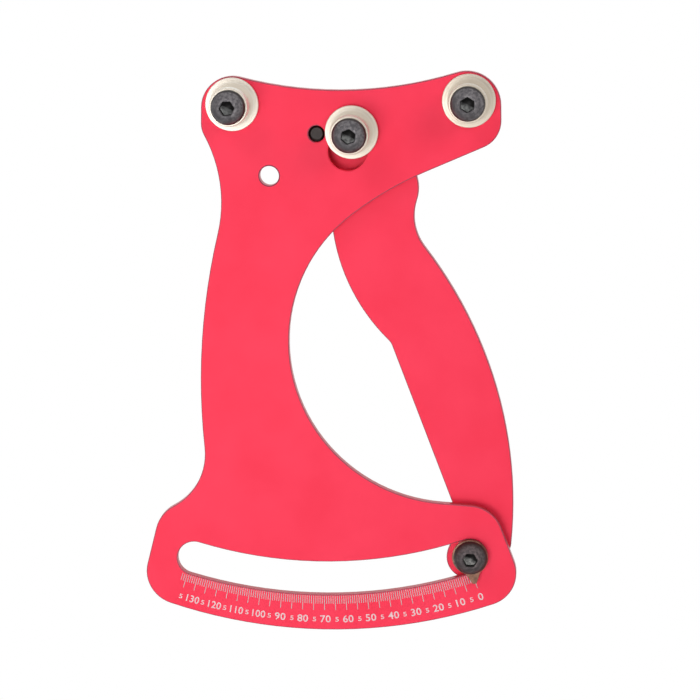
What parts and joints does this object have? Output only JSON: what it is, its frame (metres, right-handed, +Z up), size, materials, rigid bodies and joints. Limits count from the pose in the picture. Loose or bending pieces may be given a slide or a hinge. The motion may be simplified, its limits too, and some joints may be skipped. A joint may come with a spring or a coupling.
{
  "type": "spoke tension meter",
  "caption": "Hand-held gauge that reads the tension of a wheel spoke: two fixed posts on a flat body, a third post on a spring-loaded swing arm, and a pointer on a curved scale.",
  "frame": {"origin": "middle of the hang hole in the body plate, halfway through its thickness", "axes": "+Z up the tool from the scale to the post end, +X to the right when the scale is read, +Y through the plates from the front, where the scale is, to the back"},
  "size_m": [0.1166, 0.03, 0.1761],
  "materials": {
    "red_anodised": "fine bead-blasted sheet, dyed red anodising, machined edges",
    "nickel_plate": "turned steel, warm bright nickel plating with fine lathe rings",
    "black_oxide": "black oxide on rolled-thread socket screws, satin",
    "zinc_plate": "clear zinc plating, satin",
    "nut_nylon": "natural nylon locking ring",
    "sleeve_acetal": "turned acetal, low friction",
    "brass": "tarnished sheet brass, punched",
    "bronze": "oiled sintered bronze",
    "spring_steel": "bright hard-drawn spring wire"
  },
  "bodies": {
    "body": {"body_plate": "red_anodised", "left_post_spool": "nickel_plate", "left_post_screw": "black_oxide", "left_post_washer": "zinc_plate", "left_post_nut": "zinc_plate", "right_post_spool": "nickel_plate", "right_post_screw": "black_oxide", "right_post_washer": "zinc_plate", "right_post_nut": "zinc_plate", "post_nut_inserts": "nut_nylon", "pivot_screw": "black_oxide", "spring_seat_washer": "zinc_plate", "spring_retaining_washer": "zinc_plate", "return_spring": "spring_steel"},
    "arm": {"swing_arm": "red_anodised", "pivot_bush": "bronze", "middle_post_spool": "nickel_plate", "middle_post_sleeve": "sleeve_acetal", "middle_post_screw": "black_oxide", "middle_post_washer": "zinc_plate", "middle_post_nut": "zinc_plate", "pointer": "brass", "pointer_sleeve": "sleeve_acetal", "pointer_screw": "black_oxide", "pointer_washer": "zinc_plate", "pointer_nut": "zinc_plate", "arm_nut_inserts": "nut_nylon"}
  },
  "joints": [
    {"name": "arm_pivot", "type": "hinge", "parent": "body", "child": "arm", "pos_m": [0.0145, 0, 0.01295], "axis": [0, 1, 0], "range_deg": [0, 36.32], "stiffness_Nm_per_rad": 0.6, "springref_deg": -11.46, "deforming": ["return_spring"]}
  ]
}
